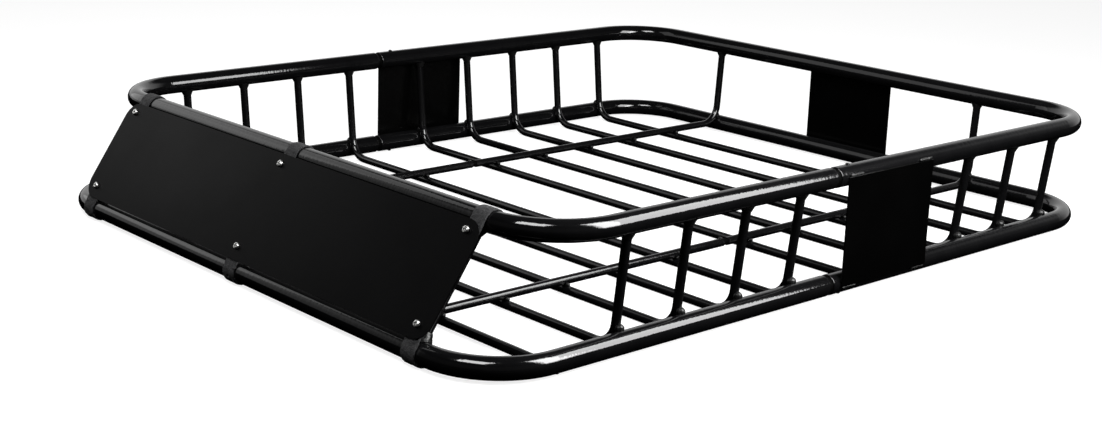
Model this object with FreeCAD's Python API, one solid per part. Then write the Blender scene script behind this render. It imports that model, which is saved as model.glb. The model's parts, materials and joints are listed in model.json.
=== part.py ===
import FreeCAD, Part
import math
import os

# A roof cargo basket in two halves. Millimetres, +Z up. The wind fairing faces -Y, and the origin is
# at the middle of the footprint, on the plane that the basket stands on. Left is +X.

V = FreeCAD.Vector
UP = V(0, 0, 1)

# Overall size, over the end plate, the side plates and the fairing straps.
overall_length = 1250.0
overall_width = 1020.0
overall_height = 178.0

# Rails: two rings of round tube, one above the other, each made of a front and a rear U.
rail_radius = 14.0
rail_wall = 1.5
corner_radius = 100.0
fairing_setback = 85.5

# Thin tubes that make the floor and the uprights.
bar_radius = 6.0
bar_wall = 1.2
front_bar_start = -87.6
front_bar_pitch = 103.0
front_bar_count = 4
rear_bar_start = 62.2
rear_bar_pitch = 106.6
rear_bar_count = 5
floor_bend_radius = 34.0
upright_inset = 15.95

# Two runners lie lengthwise on the floor bars and rise at the back as the rear uprights.
runner_x = 279.0
runner_bend_radius = 34.0
runner_upright_inset = 8.95
runner_joint_y = 12.0
runner_joint_gap = 8.0
spigot_radius = 4.75
spigot_length = 70.0

# The joint where the front half and the rear half of the basket meet.
seam_y = -29.0
seam_gap = 7.0
sleeve_clearance = 0.05
sleeve_length = 110.0
sleeve_wall = 1.5
joint_screw_setback = 25.5
rail_end_rounding = 1.1

# Flat plates welded to the outside of the rails.
plate_thickness = 2.5
side_plate_width = 180.0
rear_plate_width = 174.0
plate_bottom_overlap = 1.5
plate_top_overlap = 2.0
side_plate_centre_y = 76.7
rear_plate_centre_x = 7.7

# Wind fairing, and the straps and screws that hold it to the two front rails.
strap_thickness = 2.5
strap_width = 25.0
strap_clearance = 0.05
strap_hook_length = 4.0
strap_hole_radius = 2.2
fairing_thickness = 1.5
fairing_width = 809.0
fairing_lean = 15.6
fairing_corner_radius = 26.0
fairing_bottom_margin = 10.0
fairing_top_margin = 6.3
fastener_pitch = 381.0
corner_upright_top_x = 387.0
corner_upright_foot_x = 375.0
bottom_screw_rise = 28.0
bottom_screw_shift = -5.5
bottom_strap_shift = -5.0
top_screw_drop = 20.3
top_screw_shift = 4.5
top_strap_shift = 12.0
tab_end_margin = 9.0

# Screws, washers and nuts.
fairing_screw = {"head_radius": 4.75, "head_height": 3.4, "shank_radius": 2.45, "shank_length": 10.5}
rail_screw = {"head_radius": 2.9, "head_height": 2.0, "shank_radius": 1.45, "shank_length": 6.0}
runner_screw = {"head_radius": 2.6, "head_height": 1.8, "shank_radius": 1.45, "shank_length": 4.0}
screw_hole_clearance = 0.05
fairing_hole_radius = 2.75
washer_radius = 5.0
washer_thickness = 1.0
nut_across_flats = 8.0
nut_height = 4.0
recess_slot_share_of_head = 0.36
recess_share_of_head = 0.64
head_rounding_share = 0.6
recess_depth_share = 0.75

# Weld beads.
ball_pole = V(2, 5, 3)
foot_weld_radius = 6.0
foot_weld_inboard = 7.5
foot_weld_rise = 14.5
top_weld_radius = 10.0
top_weld_foot_radius = 6.4
top_weld_start = 11.0
top_weld_end = 19.0
corner_foot_weld_radius = 13.5
corner_foot_weld_end = 26.0
crossing_weld_radius = 3.2
crossing_weld_side = 6.2
crossing_weld_rise = 1.2
bar_end_weld_radius = 8.0
plate_weld_radius = 2.3
plate_weld_length = 26.0
plate_weld_end_margin = 3.0
plate_weld_inset = 2.4
plate_weld_proud = 1.3

# Places that follow from the sizes above.
rail_x = overall_width / 2 - plate_thickness - rail_radius
rear_y = overall_length / 2 - plate_thickness - rail_radius
front_bottom_y = -(overall_length / 2 - strap_thickness - rail_radius)
front_top_y = front_bottom_y + fairing_setback
bottom_z = strap_thickness + rail_radius
top_z = overall_height - strap_thickness - rail_radius
floor_z = bar_radius
runner_z = floor_z + 2 * bar_radius
front_end_y = seam_y - seam_gap / 2
rear_end_y = seam_y + seam_gap / 2
front_bar_ys = [front_bar_start - front_bar_pitch * i for i in range(front_bar_count)]
rear_bar_ys = [rear_bar_start + rear_bar_pitch * i for i in range(rear_bar_count)]
straight_bar_y = front_bar_ys[-1] - front_bar_pitch
slant_length = math.hypot(top_z - bottom_z, front_top_y - front_bottom_y)
slant_angle = math.degrees(math.atan2(top_z - bottom_z, front_top_y - front_bottom_y))
fairing_offset = rail_radius + strap_thickness
strap_back = rail_radius + strap_clearance
SIDES = {"left": 1, "right": -1}
COLUMNS = {"left": 1, "centre": 0, "right": -1}


def save(name, solids):
    shape = solids[0] if len(solids) == 1 else Part.makeCompound(solids)
    if not shape.isValid():
        raise ValueError(name + " is not a valid shape")
    shape.exportStep("parts/" + name + ".step")


def cylinder(radius, start, end):
    run = end - start
    return Part.makeCylinder(radius, run.Length, start, run)


def bent_wire(points, bend_radius):
    """Straight runs between the points, joined by tangent arcs."""
    edges = []
    start = points[0]
    for before, corner, after in zip(points, points[1:], points[2:]):
        way_in = (corner - before).normalize()
        way_out = (after - corner).normalize()
        half_turn = way_in.getAngle(way_out) / 2
        cut = bend_radius * math.tan(half_turn)
        arc_start = corner - way_in * cut
        arc_end = corner + way_out * cut
        inward = (way_out - way_in).normalize()
        arc_middle = corner + inward * (bend_radius / math.cos(half_turn) - bend_radius)
        edges.append(Part.LineSegment(start, arc_start).toShape())
        edges.append(Part.Arc(arc_start, arc_middle, arc_end).toShape())
        start = arc_end
    edges.append(Part.LineSegment(start, points[-1]).toShape())
    return Part.Wire(edges)


def rod(points, radius, bend_radius):
    wire = bent_wire(points, bend_radius)
    circle = Part.makeCircle(radius, points[0], points[1] - points[0])
    return wire.makePipeShell([Part.Wire(circle)], True, False)


def tube(points, radius, wall, bend_radius):
    return rod(points, radius, bend_radius).cut(rod(points, radius - wall, bend_radius))


# Rails

def rail_points(end_y, turn_y, z):
    return [V(rail_x, end_y, z), V(rail_x, turn_y, z), V(-rail_x, turn_y, z), V(-rail_x, end_y, z)]


RAILS = {
    "front_top_rail": rail_points(front_end_y, front_top_y, top_z),
    "rear_top_rail": rail_points(rear_end_y, rear_y, top_z),
    "front_bottom_rail": rail_points(front_end_y, front_bottom_y, bottom_z),
    "rear_bottom_rail": rail_points(rear_end_y, rear_y, bottom_z),
}
RAIL_RODS = {name: rod(points, rail_radius, corner_radius) for name, points in RAILS.items()}


def joint_screw_places():
    """Where each joint screw's head sits, and which way the head points."""
    y = rear_end_y + joint_screw_setback
    tops = [(V(side * rail_x, y, top_z + rail_radius), UP) for side in SIDES.values()]
    bottoms = [(V(side * rail_x, y, bottom_z - rail_radius), -UP) for side in SIDES.values()]
    return tops + bottoms


def screw_holes(places, screw):
    """Plugs to cut, as wide as each screw's shank with its clearance, and as deep as the shank."""
    radius = screw["shank_radius"] + screw_hole_clearance
    return [cylinder(radius, seat + way, seat - way * screw["shank_length"]) for seat, way in places]


def rounded_ends(rail, end_y):
    """The rail with the outer rims of its two open ends rounded over."""
    rims = [edge for edge in rail.Edges if is_outer_rim(edge, end_y)]
    return rail.makeFillet(rail_end_rounding, rims)


def is_outer_rim(edge, end_y):
    box = edge.BoundBox
    at_the_end = abs(box.YMin - end_y) < rail_wall / 2 and abs(box.YMax - end_y) < rail_wall / 2
    return at_the_end and box.ZLength > 2 * rail_radius - rail_wall


def make_rails():
    holes = screw_holes(joint_screw_places(), rail_screw)
    for name, points in RAILS.items():
        rail = tube(points, rail_radius, rail_wall, corner_radius)
        save(name, [rounded_ends(rail, points[0].y).cut(holes)])


def make_rail_sleeves():
    outer = rail_radius - rail_wall - sleeve_clearance
    holes = screw_holes(joint_screw_places(), rail_screw)
    for level, z in (("top", top_z), ("bottom", bottom_z)):
        for side_name, side in SIDES.items():
            start = V(side * rail_x, seam_y - sleeve_length / 2, z)
            end = start + V(0, sleeve_length, 0)
            sleeve = cylinder(outer, start, end).cut(cylinder(outer - sleeve_wall, start, end))
            save("rail_sleeve_" + level + "_" + side_name, [sleeve.cut(holes)])


# Floor bars and uprights

def floor_bar_points(y):
    """A U across the basket: both ends lean out from the floor to the middle of the top rails."""
    lean = upright_inset / (top_z - bottom_z)
    corner_x = rail_x - lean * (top_z - floor_z)
    return [V(rail_x, y, top_z), V(corner_x, y, floor_z), V(-corner_x, y, floor_z), V(-rail_x, y, top_z)]


def runner_rear_points(x):
    lean = runner_upright_inset / (top_z - bottom_z)
    corner_y = rear_y - lean * (top_z - runner_z)
    start_y = runner_joint_y + runner_joint_gap / 2
    return [V(x, start_y, runner_z), V(x, corner_y, runner_z), V(x, rear_y, top_z)]


def runner_front_ends(x):
    return [V(x, runner_joint_y - runner_joint_gap / 2, runner_z), V(x, front_bottom_y, runner_z)]


def straight_bar_ends():
    return [V(rail_x, straight_bar_y, floor_z), V(-rail_x, straight_bar_y, floor_z)]


def corner_upright_ends(side):
    foot = V(side * corner_upright_foot_x, front_bottom_y, bottom_z)
    return [foot, V(side * corner_upright_top_x, front_top_y, top_z)]


def thin_tube(points, bend_radius):
    """A thin tube whose ends are coped to the rails that it meets."""
    whole = tube(points, bar_radius, bar_wall, bend_radius)
    coped = whole.cut(list(RAIL_RODS.values()))
    return max(coped.Solids, key=lambda solid: solid.Volume)


def make_floor_bars():
    for number, y in enumerate(front_bar_ys[::-1] + rear_bar_ys, start=1):
        save("floor_bar_" + str(number), [thin_tube(floor_bar_points(y), floor_bend_radius)])
    save("front_floor_bar", [thin_tube(straight_bar_ends(), 0)])


def runner_screw_places():
    y = runner_joint_y - runner_joint_gap
    return [(V(side * runner_x, y, runner_z + bar_radius), UP) for side in SIDES.values()]


def make_runners():
    holes = screw_holes(runner_screw_places(), runner_screw)
    for side_name, side in SIDES.items():
        x = side * runner_x
        save("runner_front_" + side_name, [thin_tube(runner_front_ends(x), 0).cut(holes)])
        save("runner_rear_" + side_name, [thin_tube(runner_rear_points(x), runner_bend_radius)])
        start = V(x, runner_joint_y - spigot_length / 2, runner_z)
        end = start + V(0, spigot_length, 0)
        spigot = cylinder(spigot_radius, start, end)
        bore = cylinder(spigot_radius - bar_wall, start, end)
        save("runner_spigot_" + side_name, [spigot.cut(bore).cut(holes)])


def make_corner_uprights():
    for side_name, side in SIDES.items():
        save("corner_upright_" + side_name, [thin_tube(corner_upright_ends(side), 0)])


# Plates

def plate_height_range():
    return bottom_z - plate_bottom_overlap, top_z + plate_top_overlap


def plate_boxes():
    low, high = plate_height_range()
    boxes = {}
    for side_name, side in SIDES.items():
        inner = side * (rail_x + rail_radius)
        corner = V(min(inner, inner + side * plate_thickness), side_plate_centre_y - side_plate_width / 2, low)
        boxes["side_plate_" + side_name] = Part.makeBox(plate_thickness, side_plate_width, high - low, corner)
    corner = V(rear_plate_centre_x - rear_plate_width / 2, rear_y + rail_radius, low)
    boxes["rear_plate"] = Part.makeBox(rear_plate_width, plate_thickness, high - low, corner)
    return boxes


def make_plates():
    for name, box in plate_boxes().items():
        save(name, [box])


# Screws, washers and nuts

def pan_head_screw(screw):
    """A cross-recess screw along Z, with the underside of its head at z = 0."""
    head = Part.makeCylinder(screw["head_radius"], screw["head_height"])
    rim = [edge for edge in head.Edges if edge.BoundBox.ZMin > screw["head_height"] / 2]
    head = head.makeFillet(screw["head_height"] * head_rounding_share, rim)
    reach = screw["head_radius"] * recess_share_of_head
    depth = screw["head_height"] * recess_depth_share
    slot = screw["head_radius"] * recess_slot_share_of_head
    for size in ((reach * 2, slot), (slot, reach * 2)):
        corner = V(-size[0] / 2, -size[1] / 2, screw["head_height"] - depth)
        head = head.cut(Part.makeBox(size[0], size[1], depth, corner))
    shank = cylinder(screw["shank_radius"], V(0, 0, 0), V(0, 0, -screw["shank_length"]))
    return head.fuse(shank).removeSplitter()


def placed(shape, seat, way):
    copy = shape.copy()
    copy.Placement = FreeCAD.Placement(seat, FreeCAD.Rotation(UP, way))
    return copy


def make_joint_screws():
    save("rail_joint_screws", [placed(pan_head_screw(rail_screw), *place) for place in joint_screw_places()])
    runner = pan_head_screw(runner_screw)
    save("runner_joint_screws", [placed(runner, *place) for place in runner_screw_places()])


# Fairing. Its parts are drawn flat: X across, Y up the slant from the bottom rail, Z out from the rails.

def slanted(shape):
    copy = shape.copy()
    turn = FreeCAD.Rotation(V(1, 0, 0), slant_angle)
    copy.Placement = FreeCAD.Placement(V(0, front_bottom_y, bottom_z), turn)
    return copy


def fairing_hole_centres():
    rows = ((bottom_screw_rise, bottom_screw_shift), (slant_length - top_screw_drop, top_screw_shift))
    return [(column * fastener_pitch + shift, y) for y, shift in rows for column in COLUMNS.values()]


def fairing_holes():
    reach = 2 * fairing_offset
    return [cylinder(fairing_hole_radius, V(x, y, 0), V(x, y, reach)) for x, y in fairing_hole_centres()]


def make_wind_fairing():
    bottom = fairing_bottom_margin
    top = slant_length - fairing_top_margin
    corners = []
    for side, row, shift in ((-1, bottom, -1), (1, bottom, -1), (1, top, 1), (-1, top, 1)):
        x = side * fairing_width / 2 + shift * fairing_lean / 2
        corners.append(V(x, row, fairing_offset))
    outline = Part.makePolygon(corners + corners[:1])
    sheet = Part.Face(outline).extrude(V(0, 0, fairing_thickness))
    uprights = [edge for edge in sheet.Edges if edge.BoundBox.ZLength > fairing_thickness / 2]
    sheet = sheet.makeFillet(fairing_corner_radius, uprights)
    save("wind_fairing", [slanted(sheet.cut(fairing_holes()))])


def strap_bores():
    """The room that the two front rails need inside the straps, bends included."""
    rails = (RAILS["front_top_rail"], RAILS["front_bottom_rail"])
    return [rod(points, strap_back, corner_radius) for points in rails]


def strap_leaf(left_x, start_y, end_y, bottom, top):
    corner = V(left_x, min(start_y, end_y), bottom)
    return Part.makeBox(strap_width, abs(end_y - start_y), top - bottom, corner)


def strap(x, rail_row, tab_row, has_front_hole):
    """A flat band hooked round the outer side of a rail, with a tab that reaches the screw."""
    toward = math.copysign(1, tab_row - rail_row)
    left = V(x - strap_width / 2, rail_row, 0)
    right = left + V(strap_width, 0, 0)
    tab_end = tab_row + toward * tab_end_margin
    hook_end = rail_row + toward * strap_hook_length
    inner_row = rail_row + toward * fairing_offset
    inner_side = strap_leaf(left.x, rail_row, inner_row, -fairing_offset, fairing_offset)
    outer_half = cylinder(fairing_offset, left, right).cut(inner_side)
    tab = strap_leaf(left.x, rail_row, tab_end, strap_back, fairing_offset)
    hook = strap_leaf(left.x, rail_row, hook_end, -fairing_offset, -strap_back)
    band = outer_half.fuse([tab, hook]).removeSplitter().cut(fairing_holes())
    if has_front_hole:
        seat = V(x, rail_row, 0)
        outward = V(0, -toward, 1).normalize()
        band = band.cut(cylinder(strap_hole_radius, seat, seat + outward * 2 * rail_radius))
    return slanted(band).cut(strap_bores())


def make_straps():
    top_row = slant_length - top_screw_drop
    for name, column in COLUMNS.items():
        x = column * fastener_pitch
        bottom = strap(x + bottom_strap_shift, 0, bottom_screw_rise, name != "left")
        save("strap_bottom_" + name, bottom.Solids)
        save("strap_top_" + name, strap(x + top_strap_shift, slant_length, top_row, False).Solids)


def hex_nut():
    corner_reach = nut_across_flats / math.sqrt(3)
    corners = [V(corner_reach, 0, 0)]
    for step in range(1, 7):
        turn = math.radians(60 * step)
        corners.append(V(corner_reach * math.cos(turn), corner_reach * math.sin(turn), 0))
    blank = Part.Face(Part.makePolygon(corners)).extrude(V(0, 0, -nut_height))
    bore_radius = fairing_screw["shank_radius"] + screw_hole_clearance
    return blank.cut(cylinder(bore_radius, V(0, 0, -nut_height), V(0, 0, 0)))


def washer():
    ring = cylinder(washer_radius, V(0, 0, -washer_thickness), V(0, 0, 0))
    return ring.cut(cylinder(fairing_hole_radius, V(0, 0, -washer_thickness), V(0, 0, 0)))


def at_fairing_holes(shape, height):
    copies = []
    for x, y in fairing_hole_centres():
        copy = shape.copy()
        copy.translate(V(x, y, height))
        copies.append(slanted(Part.makeCompound([copy])).Solids[0])
    return copies


def make_fairing_fasteners():
    screw_seat = fairing_offset + fairing_thickness
    save("fairing_screws", at_fairing_holes(pan_head_screw(fairing_screw), screw_seat))
    save("fairing_washers", at_fairing_holes(washer(), strap_back))
    save("fairing_nuts", at_fairing_holes(hex_nut(), strap_back - washer_thickness))


# Weld beads. Each is cut back by the pieces that it joins, so that it lies against them.

def bead(blank, neighbours):
    return max(blank.cut(neighbours).Solids, key=lambda solid: solid.Volume)


def ball(radius, centre):
    """A ball whose poles and seam lie away from the tubes' own axes."""
    return Part.makeSphere(radius, centre, ball_pole)


def flared_weld(upright_end, upright_way, radius, reach, neighbours):
    """A collar that flares against a rail, round an upright that points at the rail's middle."""
    start = upright_end - upright_way * reach
    cone = Part.makeCone(top_weld_foot_radius, radius, reach - top_weld_start, start, upright_way)
    return bead(cone, neighbours)


def top_weld(upright_top, upright_way, neighbours):
    return flared_weld(upright_top, upright_way, top_weld_radius, top_weld_end, neighbours)


def make_upright_welds():
    top_welds = []
    foot_welds = []
    rods = list(RAIL_RODS.values())
    for y in front_bar_ys + rear_bar_ys:
        points = floor_bar_points(y)
        neighbours = rods + [rod(points, bar_radius, floor_bend_radius)]
        for side, top, foot in ((1, points[0], points[1]), (-1, points[3], points[2])):
            top_welds.append(top_weld(top, (top - foot).normalize(), neighbours))
            centre = V(side * (rail_x - foot_weld_inboard), y, bottom_z + foot_weld_rise)
            foot_welds.append(bead(ball(foot_weld_radius, centre), neighbours))
    for side in SIDES.values():
        points = runner_rear_points(side * runner_x)
        neighbours = rods + [rod(points, bar_radius, runner_bend_radius)]
        top_welds.append(top_weld(points[2], (points[2] - points[1]).normalize(), neighbours))
        centre = V(side * runner_x, rear_y - foot_weld_inboard, bottom_z + foot_weld_rise)
        foot_welds.append(bead(ball(foot_weld_radius, centre), neighbours))
        foot, top = corner_upright_ends(side)
        neighbours = rods + [cylinder(bar_radius, foot, top)]
        top_welds.append(top_weld(top, (top - foot).normalize(), neighbours))
        size = (corner_foot_weld_radius, corner_foot_weld_end)
        foot_welds.append(flared_weld(foot, (foot - top).normalize(), *size, neighbours))
    save("upright_top_welds", top_welds)
    save("upright_foot_welds", foot_welds)


def crossing_welds(x, y):
    """Two beads in the notches between a runner and the floor bar that it lies on."""
    runner = cylinder(bar_radius, V(x, y - 2 * bar_radius, runner_z), V(x, y + 2 * bar_radius, runner_z))
    bar = cylinder(bar_radius, V(x - 2 * bar_radius, y, floor_z), V(x + 2 * bar_radius, y, floor_z))
    height = floor_z + bar_radius + crossing_weld_rise
    beads = []
    for side in (1, -1):
        centre = V(x + side * crossing_weld_side, y, height)
        beads.append(bead(ball(crossing_weld_radius, centre), [runner, bar]))
    return beads


def make_floor_welds():
    beads = []
    for x in (runner_x, -runner_x):
        for y in front_bar_ys + rear_bar_ys + [straight_bar_y]:
            beads += crossing_welds(x, y)
        end = V(x, front_bottom_y + rail_radius, runner_z)
        runner = cylinder(bar_radius, *runner_front_ends(x))
        beads.append(bead(ball(bar_end_weld_radius, end), [runner, RAIL_RODS["front_bottom_rail"]]))
    for end in straight_bar_ends():
        side = math.copysign(1, end.x)
        centre = V(end.x - side * rail_radius, end.y, floor_z + bar_radius / 2)
        bar = cylinder(bar_radius, *straight_bar_ends())
        blank = ball(bar_end_weld_radius, centre)
        beads.append(bead(blank, [bar, RAIL_RODS["front_bottom_rail"]]))
    save("floor_welds", beads)


def plate_weld_lines(plate):
    """Where the top and bottom edges of a plate meet the rails, as lines that run along the edges."""
    size = plate.BoundBox
    outward = rail_radius + plate_weld_inset - plate_weld_radius
    lines = []
    for z in (size.ZMin - plate_weld_proud, size.ZMax + plate_weld_proud):
        if size.XLength > size.YLength:
            y = rear_y + outward
            lines.append((V(size.XMin, y, z), V(size.XMax, y, z)))
        else:
            x = math.copysign(rail_x + outward, size.Center.x)
            lines.append((V(x, size.YMin, z), V(x, size.YMax, z)))
    return lines


def make_plate_welds():
    """Two short beads on each line, one near each end."""
    rods = [RAIL_RODS["rear_top_rail"], RAIL_RODS["rear_bottom_rail"]]
    beads = []
    for plate in plate_boxes().values():
        for start, end in plate_weld_lines(plate):
            way = (end - start).normalize()
            near = start + way * plate_weld_end_margin
            far = end - way * (plate_weld_end_margin + plate_weld_length)
            for place in (near, far):
                run = cylinder(plate_weld_radius, place, place + way * plate_weld_length)
                beads.append(bead(run, rods + [plate]))
    save("plate_welds", beads)


os.makedirs("parts", exist_ok=True)
make_rails()
make_rail_sleeves()
make_floor_bars()
make_runners()
make_corner_uprights()
make_plates()
make_joint_screws()
make_wind_fairing()
make_straps()
make_fairing_fasteners()
make_upright_welds()
make_floor_welds()
make_plate_welds()
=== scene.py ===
import bmesh
import bpy
import json
import math
from mathutils import Matrix, Vector, noise


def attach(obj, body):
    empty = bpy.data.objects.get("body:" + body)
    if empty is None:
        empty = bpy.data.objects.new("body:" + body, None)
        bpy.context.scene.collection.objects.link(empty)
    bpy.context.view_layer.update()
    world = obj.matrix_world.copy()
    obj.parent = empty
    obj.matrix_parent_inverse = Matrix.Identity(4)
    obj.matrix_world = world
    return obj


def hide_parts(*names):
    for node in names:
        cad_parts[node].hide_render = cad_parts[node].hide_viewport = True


# Studio scene of a roof cargo basket. Metres, +Z up, the wind fairing faces -Y, left is +X.

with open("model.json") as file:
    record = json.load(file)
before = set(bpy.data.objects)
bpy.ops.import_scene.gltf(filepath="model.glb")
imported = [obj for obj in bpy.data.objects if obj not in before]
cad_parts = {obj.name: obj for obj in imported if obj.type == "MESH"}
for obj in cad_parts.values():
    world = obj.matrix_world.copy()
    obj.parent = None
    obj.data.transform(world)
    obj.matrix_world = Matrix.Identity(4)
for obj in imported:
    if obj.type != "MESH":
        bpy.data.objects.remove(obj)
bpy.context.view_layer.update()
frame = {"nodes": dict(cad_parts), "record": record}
nodes = frame["nodes"]

MM = 0.001

# Camera: where it stands, and how it is turned (degrees) and framed.
camera_place = Vector((1.8221, -1.7368, 0.6852))
camera_azimuth = 48.07
camera_elevation = 14.2
camera_roll = 1.82
camera_lens = 55.65
camera_shift = (0.0145, -0.0331)

# Pieces: how the skins of the finer pieces are cut, rounded and roughened.
joined_points_apart = 1e-6
flat_sheet_angle = math.radians(1)
sheet_edge_angle = math.radians(50)
sheet_edge_segments = 3
fairing_edge = 0.45 * MM
plate_edge = 0.5 * MM
flat_face_dot = 0.9999
lump_octaves = 3
lump_gain = 0.9
lump_spacing = 2.1
lump_seed_shift = Vector((7.3, 3.1, 5.7))
strap_voxel = 0.6 * MM
strap_crease = {"size": 5 * MM, "reach": 0.42 * MM}
strap_pucker = {"size": 1.8 * MM, "reach": 0.14 * MM}
strap_pucker_seed = 50
strap_rounding = {"factor": 0.5, "iterations": 4}
bead_rounding = {"factor": 0.4, "iterations": 1}
plate_beads = {"voxel": 0.5 * MM, "size": 2.4 * MM, "reach": 0.9 * MM, "seed": 1}
foot_beads = {"voxel": 0.7 * MM, "size": 4.5 * MM, "reach": 0.35 * MM, "seed": 2}
floor_beads = {"voxel": 0.7 * MM, "size": 2.6 * MM, "reach": 0.5 * MM, "seed": 3}

# Room: one wall glows. Each fade gives where it starts and ends, and the brightness at both.
glow_toward = (-0.78, 0.62, 0.0)
horizon_fade = {"low": -0.01, "high": 0.02, "from_brightness": 0.0, "to_brightness": 1.0}
wall_top_fade = {"low": 0.42, "high": 0.62, "from_brightness": 1.0, "to_brightness": 0.02}
glow_fade = {"low": 0.05, "high": 0.6, "from_brightness": 0.03, "to_brightness": 0.8}
backdrop_brightness = 0.93
floor_size = 40
floor_albedo = 0.32
floor_glow = 0.82


# Materials

class Shader:
    """A node material, with short ways to add the nodes that the finishes below share."""

    def __init__(self, name, color, roughness, metallic=0.0, specular=0.5):
        self.material = bpy.data.materials.new(name)
        self.material.use_nodes = True
        self.tree = self.material.node_tree
        self.surface = self.tree.nodes["Principled BSDF"]
        self.place = self.add("ShaderNodeTexCoord").outputs["Object"]
        self.normal = None
        self.set("Base Color", (*color, 1.0))
        self.set("Roughness", roughness)
        self.set("Metallic", metallic)
        self.set("Specular IOR Level", specular)

    def set(self, socket, value):
        self.surface.inputs[socket].default_value = value

    def add(self, kind):
        return self.tree.nodes.new(kind)

    def link(self, output, target):
        self.tree.links.new(output, target)

    def noise(self, scale, detail=2.0, rough=0.5, place=None):
        """Noise with this many grains to the metre."""
        node = self.add("ShaderNodeTexNoise")
        node.inputs["Scale"].default_value = scale
        node.inputs["Detail"].default_value = detail
        node.inputs["Roughness"].default_value = rough
        self.link(place or self.place, node.inputs["Vector"])
        return node.outputs["Fac"]

    def stretched(self, scales):
        node = self.add("ShaderNodeMapping")
        node.inputs["Scale"].default_value = scales
        self.link(self.place, node.inputs["Vector"])
        return node.outputs["Vector"]

    def vary_roughness(self, value, low, high, smoothest, roughest):
        """Roughness that follows a noise value between its low and high marks."""
        node = self.add("ShaderNodeMapRange")
        settings = {"From Min": low, "From Max": high, "To Min": smoothest, "To Max": roughest}
        for key, number in settings.items():
            node.inputs[key].default_value = number
        self.link(value, node.inputs["Value"])
        self.link(node.outputs["Result"], self.surface.inputs["Roughness"])

    def bump(self, height, strength, distance):
        node = self.add("ShaderNodeBump")
        node.inputs["Strength"].default_value = strength
        node.inputs["Distance"].default_value = distance
        self.link(height, node.inputs["Height"])
        if self.normal:
            self.link(self.normal, node.inputs["Normal"])
        self.normal = node.outputs["Normal"]
        self.link(self.normal, self.surface.inputs["Normal"])

    def blend_color(self, factor, first, second):
        node = self.add("ShaderNodeMix")
        node.data_type = "RGBA"
        node.inputs["A"].default_value = (*first, 1.0)
        node.inputs["B"].default_value = (*second, 1.0)
        self.link(factor, node.inputs["Factor"])
        self.link(node.outputs["Result"], self.surface.inputs["Base Color"])


def gloss_powder(name, smooth, rough, peel):
    """Gloss black powder coat: orange peel, cloudy patches that shine less, and a faint mottle."""
    shader = Shader(name, (0.0022, 0.0022, 0.0024), smooth, specular=0.55)
    clouds = shader.noise(scale=9.0, detail=4.0, rough=0.6)
    shader.vary_roughness(clouds, low=0.35, high=0.75, smoothest=smooth, roughest=rough)
    mottle = shader.noise(scale=38.0, detail=5.0, rough=0.65)
    shader.blend_color(mottle, (0.0014, 0.0014, 0.0016), (0.0036, 0.0036, 0.0038))
    orange_peel = shader.noise(scale=210.0)
    shader.bump(orange_peel, strength=peel, distance=0.35 * MM)
    dust = shader.noise(scale=1400.0, detail=1.0)
    shader.bump(dust, strength=peel * 0.35, distance=0.06 * MM)
    return shader.material


def satin_powder(name, color, roughness, grain, specular):
    """Satin black powder coat with a fine sandy texture and slow changes of shine."""
    shader = Shader(name, color, roughness, specular=specular)
    clouds = shader.noise(scale=6.0, detail=3.0, rough=0.55)
    shader.vary_roughness(
        clouds, low=0.3, high=0.7, smoothest=roughness - 0.05, roughest=roughness + 0.06)
    brighter = tuple(part * 1.8 for part in color)
    shader.blend_color(shader.noise(scale=520.0, detail=3.0, rough=0.7), color, brighter)
    sand = shader.noise(scale=1100.0, rough=0.6)
    shader.bump(sand, strength=grain, distance=0.12 * MM)
    waves = shader.noise(scale=14.0)
    shader.bump(waves, strength=grain * 0.5, distance=0.6 * MM)
    return shader.material


def weld_coat():
    """A duller coat over the ripples and pits of a weld bead."""
    shader = Shader("weld_coat", (0.002, 0.002, 0.0022), 0.3, specular=0.28)
    soot = shader.noise(scale=600.0, detail=3.0)
    shader.blend_color(soot, (0.002, 0.002, 0.002), (0.008, 0.008, 0.008))
    ripples = shader.noise(scale=330.0, detail=4.0, rough=0.7)
    shader.bump(ripples, strength=0.6, distance=0.4 * MM)
    pits = shader.noise(scale=900.0, detail=3.0, rough=0.7)
    shader.bump(pits, strength=0.4, distance=0.1 * MM)
    return shader.material


def strap_skin():
    """Matt dark grey moulded strap: leathery grain, fine creases and paler rubbed spots."""
    shader = Shader("strap_skin", (0.012, 0.012, 0.013), 0.62, specular=0.32)
    rubbed = shader.noise(scale=260.0, detail=6.0, rough=0.75)
    shader.blend_color(rubbed, (0.003, 0.003, 0.0033), (0.046, 0.046, 0.048))
    along_the_rail = shader.stretched((1.0, 2.4, 2.4))
    creases = shader.noise(scale=120.0, detail=5.0, rough=0.75, place=along_the_rail)
    shader.bump(creases, strength=1.0, distance=2.8 * MM)
    grain = shader.noise(scale=900.0, detail=3.0, rough=0.7)
    shader.bump(grain, strength=0.8, distance=0.5 * MM)
    wear = shader.noise(scale=70.0, detail=4.0)
    shader.vary_roughness(wear, low=0.3, high=0.7, smoothest=0.5, roughest=0.75)
    return shader.material


def zinc_plate():
    """Bright zinc with small stains, patches that shine less and a slightly pitted skin."""
    shader = Shader("zinc_plate", (0.78, 0.78, 0.76), 0.22, metallic=1.0)
    stains = shader.noise(scale=420.0, detail=5.0, rough=0.7)
    shader.blend_color(stains, (0.66, 0.66, 0.65), (0.95, 0.95, 0.93))
    dull_patches = shader.noise(scale=800.0, detail=4.0)
    shader.vary_roughness(dull_patches, low=0.3, high=0.7, smoothest=0.24, roughest=0.42)
    pits = shader.noise(scale=1500.0, detail=3.0)
    shader.bump(pits, strength=0.25, distance=0.1 * MM)
    return shader.material


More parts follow.
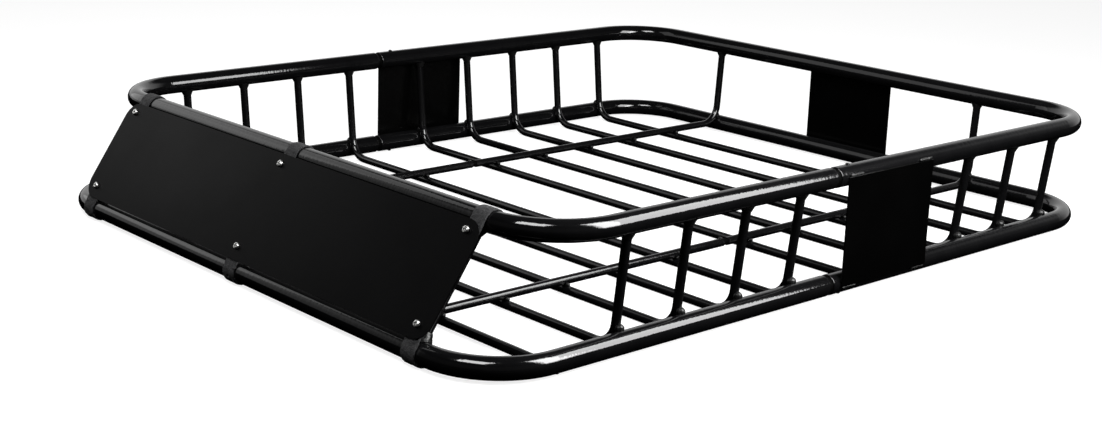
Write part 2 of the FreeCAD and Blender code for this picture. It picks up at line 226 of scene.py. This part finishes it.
finishes = {
    "rail_black": gloss_powder("rail_powder", smooth=0.06, rough=0.11, peel=0.3),
    "bar_black": gloss_powder("bar_powder", smooth=0.1, rough=0.18, peel=0.3),
    "plate_black": satin_powder(
        "plate_powder", (0.0003, 0.0003, 0.0003), roughness=0.22, grain=0.15, specular=0.14),
    "fairing_black": satin_powder(
        "fairing_powder", (0.0007, 0.0007, 0.0008), roughness=0.34, grain=0.35, specular=0.05),
    "weld_black": weld_coat(),
    "strap_grey": strap_skin(),
    "sleeve_black": satin_powder(
        "sleeve_paint", (0.0006, 0.0006, 0.0006), roughness=0.6, grain=0.2, specular=0.02),
    "screw_black": gloss_powder("screw_paint", smooth=0.2, rough=0.32, peel=0.4),
    "screw_zinc": zinc_plate(),
}
slot_of = {part["node"]: part["material_slot"] for part in frame["record"]["subparts"]}

for node, shown in nodes.items():
    for holder in shown.material_slots:
        holder.material = finishes[slot_of[node]]


# Pieces that stand for CAD nodes

def new_piece(name, form, node):
    """Turns the worked-on form into a piece that wears the node's finish."""
    mesh = bpy.data.meshes.new(name)
    form.to_mesh(mesh)
    form.free()
    mesh.materials.append(finishes[slot_of[node]])
    piece = bpy.data.objects.new(name, mesh)
    bpy.context.collection.objects.link(piece)
    return piece


def settle(piece, modifiers):
    """Adds the modifiers and puts their result into the piece's own mesh."""
    for kind, settings in modifiers:
        modifier = piece.modifiers.new(kind.lower(), kind)
        for key, value in settings.items():
            setattr(modifier, key, value)
    state = bpy.context.evaluated_depsgraph_get()
    shaped = bpy.data.meshes.new_from_object(piece.evaluated_get(state))
    piece.modifiers.clear()
    plain = piece.data
    piece.data = shaped
    bpy.data.meshes.remove(plain)
    shaped.polygons.foreach_set("use_smooth", [True] * len(shaped.polygons))


def joined_form(node):
    """The node's shape to work on, with its doubled points joined."""
    form = bmesh.new()
    form.from_mesh(nodes[node].data)
    bmesh.ops.remove_doubles(form, verts=form.verts, dist=joined_points_apart)
    return form


def stand_in(piece, node):
    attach(piece, "root")
    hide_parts(node)


def roughen(mesh, size, reach, seed):
    """Pushes each point in or out along its normal, by smooth noise of the given grain size."""
    offset = lump_seed_shift * seed
    normals = [vertex.normal.copy() for vertex in mesh.vertices]
    for vertex, normal in zip(mesh.vertices, normals):
        spot = vertex.co / size + offset
        vertex.co += normal * (noise.fractal(spot, lump_gain, lump_spacing, lump_octaves) * reach)


def flatten_faces(mesh):
    """Leaves the rolled edges smooth, and the two broad faces flat."""
    broadest = max(mesh.polygons, key=lambda face: face.area)
    facing = broadest.normal.copy()
    for face in mesh.polygons:
        face.use_smooth = abs(face.normal.dot(facing)) < flat_face_dot


def pressed_sheet(node, piece_name, edge):
    """A thin sheet with its cut edges rolled over."""
    form = joined_form(node)
    bmesh.ops.dissolve_limit(form, angle_limit=flat_sheet_angle, verts=form.verts, edges=form.edges)
    piece = new_piece(piece_name, form, node)
    bevel = {"width": edge, "segments": sheet_edge_segments,
             "limit_method": "ANGLE", "angle_limit": sheet_edge_angle}
    settle(piece, [("BEVEL", bevel)])
    flatten_faces(piece.data)
    stand_in(piece, node)


def remade_skin(node, piece_name, voxel, rounding):
    """The node with an even, slightly rounded skin of small faces."""
    piece = new_piece(piece_name, joined_form(node), node)
    remesh = {"mode": "VOXEL", "voxel_size": voxel, "use_smooth_shade": True}
    settle(piece, [("REMESH", remesh), ("SMOOTH", rounding)])
    return piece


def wrinkled_strap(node, seed):
    """A moulded strap with soft edges that bears slight creases where it is pulled round the rail."""
    piece = remade_skin(node, node + "_band", strap_voxel, strap_rounding)
    roughen(piece.data, seed=seed, **strap_crease)
    roughen(piece.data, seed=seed + strap_pucker_seed, **strap_pucker)
    stand_in(piece, node)


def lumpy_beads(node, voxel, size, reach, seed):
    """Weld beads with the uneven skin that a hand-held torch leaves."""
    piece = remade_skin(node, node + "_lumps", voxel, bead_rounding)
    roughen(piece.data, size, reach, seed)
    stand_in(piece, node)


pressed_sheet("wind_fairing", "fairing_sheet", fairing_edge)
for plate in ("side_plate_left", "side_plate_right", "rear_plate"):
    pressed_sheet(plate, plate + "_sheet", plate_edge)
straps = sorted(node for node in nodes if node.startswith("strap_"))
for number, strap in enumerate(straps):
    wrinkled_strap(strap, number)
lumpy_beads("plate_welds", **plate_beads)
lumpy_beads("upright_foot_welds", **foot_beads)
lumpy_beads("floor_welds", **floor_beads)


# Lights

def soft_box(name, place, target, size, radiance, mirrored=True):
    """A rectangular lamp that the camera doesn't see. An unmirrored one leaves no highlight."""
    data = bpy.data.lights.new(name, "AREA")
    data.shape = "RECTANGLE"
    data.size, data.size_y = size
    data.energy = radiance * math.pi * size[0] * size[1]
    light = bpy.data.objects.new(name, data)
    light.location = place
    light.rotation_euler = (Vector(target) - Vector(place)).to_track_quat("-Z", "Y").to_euler()
    light.visible_glossy = mirrored
    light.visible_camera = False
    bpy.context.collection.objects.link(light)


soft_box("overhead", place=(0, 0, 3.2), target=(0, 0, 0),
         size=(3.0, 3.0), radiance=1.6, mirrored=False)
soft_box("right_panel", place=(1.12, 0.3, 0.78), target=(0.3, 0.05, 0.1),
         size=(1.0, 0.9), radiance=10.5)
soft_box("right_key", place=(1.08, -0.05, 0.78), target=(0.3, -0.3, 0.1),
         size=(0.5, 0.8), radiance=10.0)
soft_box("front_key", place=(0.66, -1.6, 2.2), target=(0.46, -0.5, 0.16),
         size=(1.2, 0.9), radiance=14.0)
soft_box("left_panel", place=(-1.05, -0.65, 0.85), target=(0.1, 0.6, 0.15),
         size=(0.9, 1.2), radiance=0.75)


# Room

world = bpy.data.worlds.new("studio")
world.use_nodes = True
bpy.context.scene.world = world
tree = world.node_tree


def world_node(kind, **values):
    node = tree.nodes.new(kind)
    for key, value in values.items():
        setattr(node, key, value)
    return node


def world_fade(value, low, high, from_brightness, to_brightness):
    """Goes softly from one brightness to the other as the value goes from low to high."""
    node = world_node("ShaderNodeMapRange", interpolation_type="SMOOTHSTEP")
    settings = {"From Min": low, "From Max": high, "To Min": from_brightness, "To Max": to_brightness}
    for key, number in settings.items():
        node.inputs[key].default_value = number
    tree.links.new(value, node.inputs["Value"])
    return node.outputs["Result"]


def world_product(first, second):
    node = world_node("ShaderNodeMath", operation="MULTIPLY")
    tree.links.new(first, node.inputs[0])
    tree.links.new(second, node.inputs[1])
    return node.outputs["Value"]


direction = world_node("ShaderNodeTexCoord").outputs["Generated"]
split = world_node("ShaderNodeSeparateXYZ")
tree.links.new(direction, split.inputs["Vector"])
height = split.outputs["Z"]
toward = world_node("ShaderNodeVectorMath", operation="DOT_PRODUCT")
tree.links.new(direction, toward.inputs[0])
toward.inputs[1].default_value = glow_toward
above = world_fade(height, **horizon_fade)
low_wall = world_fade(height, **wall_top_fade)
bright_side = world_fade(toward.outputs["Value"], **glow_fade)
glow = world_product(world_product(above, low_wall), bright_side)
seen = world_node("ShaderNodeMix")
tree.links.new(world_node("ShaderNodeLightPath").outputs["Is Camera Ray"], seen.inputs["Factor"])
tree.links.new(glow, seen.inputs["A"])
seen.inputs["B"].default_value = backdrop_brightness
tree.links.new(seen.outputs["Result"], tree.nodes["Background"].inputs["Color"])

bpy.ops.mesh.primitive_plane_add(size=floor_size)
floor = bpy.context.object
floor.name = "floor"
paper = Shader("floor_paper", (floor_albedo,) * 3, 1.0, specular=0.0)
paper.set("Emission Color", (1, 1, 1, 1))
paper.set("Emission Strength", floor_glow)
floor.data.materials.append(paper.material)
floor.visible_glossy = False
floor.visible_diffuse = False


# Camera

camera_data = bpy.data.cameras.new("camera")
camera_data.lens = camera_lens
camera_data.shift_x, camera_data.shift_y = camera_shift
camera = bpy.data.objects.new("camera", camera_data)
bpy.context.collection.objects.link(camera)
azimuth, elevation = math.radians(camera_azimuth), math.radians(camera_elevation)
outward = math.cos(elevation)
back = Vector((math.sin(azimuth) * outward, -math.cos(azimuth) * outward, math.sin(elevation)))
aim = (-back).to_track_quat("-Z", "Y").to_matrix()
roll = Matrix.Rotation(math.radians(camera_roll), 3, "Z")
camera.matrix_world = Matrix.Translation(camera_place) @ (aim @ roll).to_4x4()
bpy.context.scene.camera = camera
bpy.context.scene.view_settings.view_transform = "Standard"
